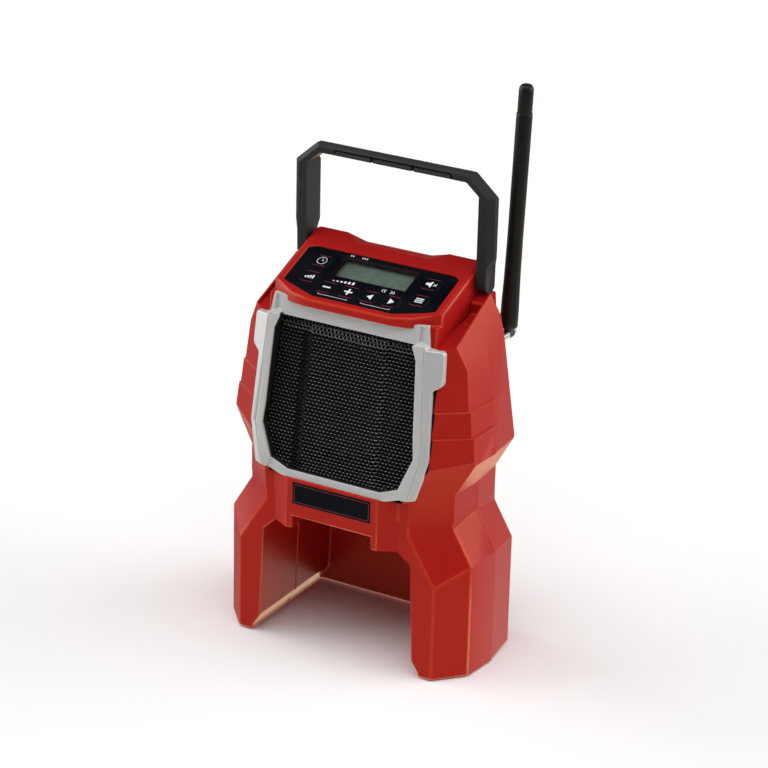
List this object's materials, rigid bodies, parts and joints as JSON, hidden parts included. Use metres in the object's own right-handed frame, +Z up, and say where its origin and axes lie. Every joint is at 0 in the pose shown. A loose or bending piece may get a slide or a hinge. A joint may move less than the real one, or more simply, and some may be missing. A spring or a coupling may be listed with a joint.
{
  "type": "jobsite radio",
  "caption": "Battery-powered jobsite radio with a carry handle, tilting rod antenna, sloped control panel with display and keys, mesh speaker front and an open battery bay between its legs.",
  "frame": {"origin": "on the floor under the middle of the bounding box", "axes": "+Z up, the speaker front faces -Y, +X is the right-hand side as seen from the front; the antenna stands at +X, +Y"},
  "size_m": [0.1706, 0.093, 0.3502],
  "materials": {
    "red_body": "satin, fine grain",
    "silver_trim": "satin silver paint",
    "black_mesh": "black powder coat",
    "black_plastic": "satin",
    "handle_plastic": "matte, textured",
    "grip_rubber": "matte",
    "antenna_rubber": "matte",
    "chrome": "polished",
    "panel_film": "gloss",
    "key_film": "gloss",
    "plate_film": "gloss",
    "display_lens": "clear",
    "display_glass": "grey green",
    "circuit_board": "solder mask",
    "steel": "zinc plated",
    "capacitor_can": "bare",
    "ferrite": "dull",
    "copper": "enamelled copper wire",
    "contact_metal": "plated",
    "speaker_steel": "black",
    "cone_paper": "pressed paper",
    "soft_rubber": "matte",
    "foot_rubber": "matte",
    "wire_insulation": "smooth"
  },
  "bodies": {
    "radio": {"front_housing": "red_body", "control_head": "red_body", "front_leg_left": "red_body", "front_leg_right": "red_body", "latch_hood": "red_body", "rear_housing": "red_body", "speaker_frame": "silver_trim", "speaker_grille": "black_mesh", "grille_bezel": "black_plastic", "name_plate": "plate_film", "control_overlay": "panel_film", "lcd_window": "display_lens", "lcd_module": "display_glass", "lcd_pins": "contact_metal", "control_board": "circuit_board", "key_switches": "black_plastic", "main_board": "circuit_board", "rf_shield": "steel", "amplifier_chip": "black_plastic", "capacitors": "capacitor_can", "board_connectors": "black_plastic", "ferrite_rod": "ferrite", "ferrite_coil": "copper", "speaker_basket": "speaker_steel", "speaker_magnet": "ferrite", "speaker_cone": "cone_paper", "speaker_surround": "soft_rubber", "dust_cap": "cone_paper", "voice_coil": "copper", "speaker_gasket": "soft_rubber", "speaker_screws": "steel", "battery_receptacle": "black_plastic", "terminal_block": "black_plastic", "battery_contacts": "contact_metal", "receptacle_screws": "steel", "housing_screws": "steel", "board_screws": "steel", "handle_pins": "steel", "antenna_bush": "chrome", "antenna_screw": "chrome", "rubber_feet": "foot_rubber", "aux_socket": "black_plastic", "battery_lead": "wire_insulation", "speaker_lead": "wire_insulation", "antenna_lead": "wire_insulation"},
    "handle": {"handle_frame": "handle_plastic", "grip_pads": "grip_rubber"},
    "antenna": {"antenna_knuckle": "black_plastic", "antenna_sleeve": "antenna_rubber", "antenna_cap": "antenna_rubber"},
    "key_clock_cap": {"key_clock": "key_film"},
    "key_channel_cap": {"key_channel": "key_film"},
    "key_volume_down_cap": {"key_volume_down": "key_film"},
    "key_volume_up_cap": {"key_volume_up": "key_film"},
    "key_seek_back_cap": {"key_seek_back": "key_film"},
    "key_seek_forward_cap": {"key_seek_forward": "key_film"},
    "key_mute_cap": {"key_mute": "key_film"},
    "key_mode_cap": {"key_mode": "key_film"}
  },
  "joints": [
    {"name": "handle_hinge", "type": "hinge", "parent": "radio", "child": "handle", "pos_m": [0, 0.023, 0.233], "axis": [1, 0, 0], "range_deg": [0, 98]},
    {"name": "antenna_hinge", "type": "hinge", "parent": "radio", "child": "antenna", "pos_m": [0.0677, 0.041, 0.1962], "axis": [0, 1, 0], "range_deg": [-92, 88]},
    {"name": "key_clock_press", "type": "slide", "parent": "radio", "child": "key_clock_cap", "axis": [0, 0.3593, -0.9332], "range_m": [0, 0.0005], "stiffness_N_per_m": 1500, "springref_m": -0.0003},
    {"name": "key_channel_press", "type": "slide", "parent": "radio", "child": "key_channel_cap", "axis": [0, 0.3593, -0.9332], "range_m": [0, 0.0005], "stiffness_N_per_m": 1500, "springref_m": -0.0003},
    {"name": "key_volume_down_press", "type": "slide", "parent": "radio", "child": "key_volume_down_cap", "axis": [0, 0.3593, -0.9332], "range_m": [0, 0.0005], "stiffness_N_per_m": 1500, "springref_m": -0.0003},
    {"name": "key_volume_up_press", "type": "slide", "parent": "radio", "child": "key_volume_up_cap", "axis": [0, 0.3593, -0.9332], "range_m": [0, 0.0005], "stiffness_N_per_m": 1500, "springref_m": -0.0003},
    {"name": "key_seek_back_press", "type": "slide", "parent": "radio", "child": "key_seek_back_cap", "axis": [0, 0.3593, -0.9332], "range_m": [0, 0.0005], "stiffness_N_per_m": 1500, "springref_m": -0.0003},
    {"name": "key_seek_forward_press", "type": "slide", "parent": "radio", "child": "key_seek_forward_cap", "axis": [0, 0.3593, -0.9332], "range_m": [0, 0.0005], "stiffness_N_per_m": 1500, "springref_m": -0.0003},
    {"name": "key_mute_press", "type": "slide", "parent": "radio", "child": "key_mute_cap", "axis": [0, 0.3593, -0.9332], "range_m": [0, 0.0005], "stiffness_N_per_m": 1500, "springref_m": -0.0003},
    {"name": "key_mode_press", "type": "slide", "parent": "radio", "child": "key_mode_cap", "axis": [0, 0.3593, -0.9332], "range_m": [0, 0.0005], "stiffness_N_per_m": 1500, "springref_m": -0.0003}
  ]
}
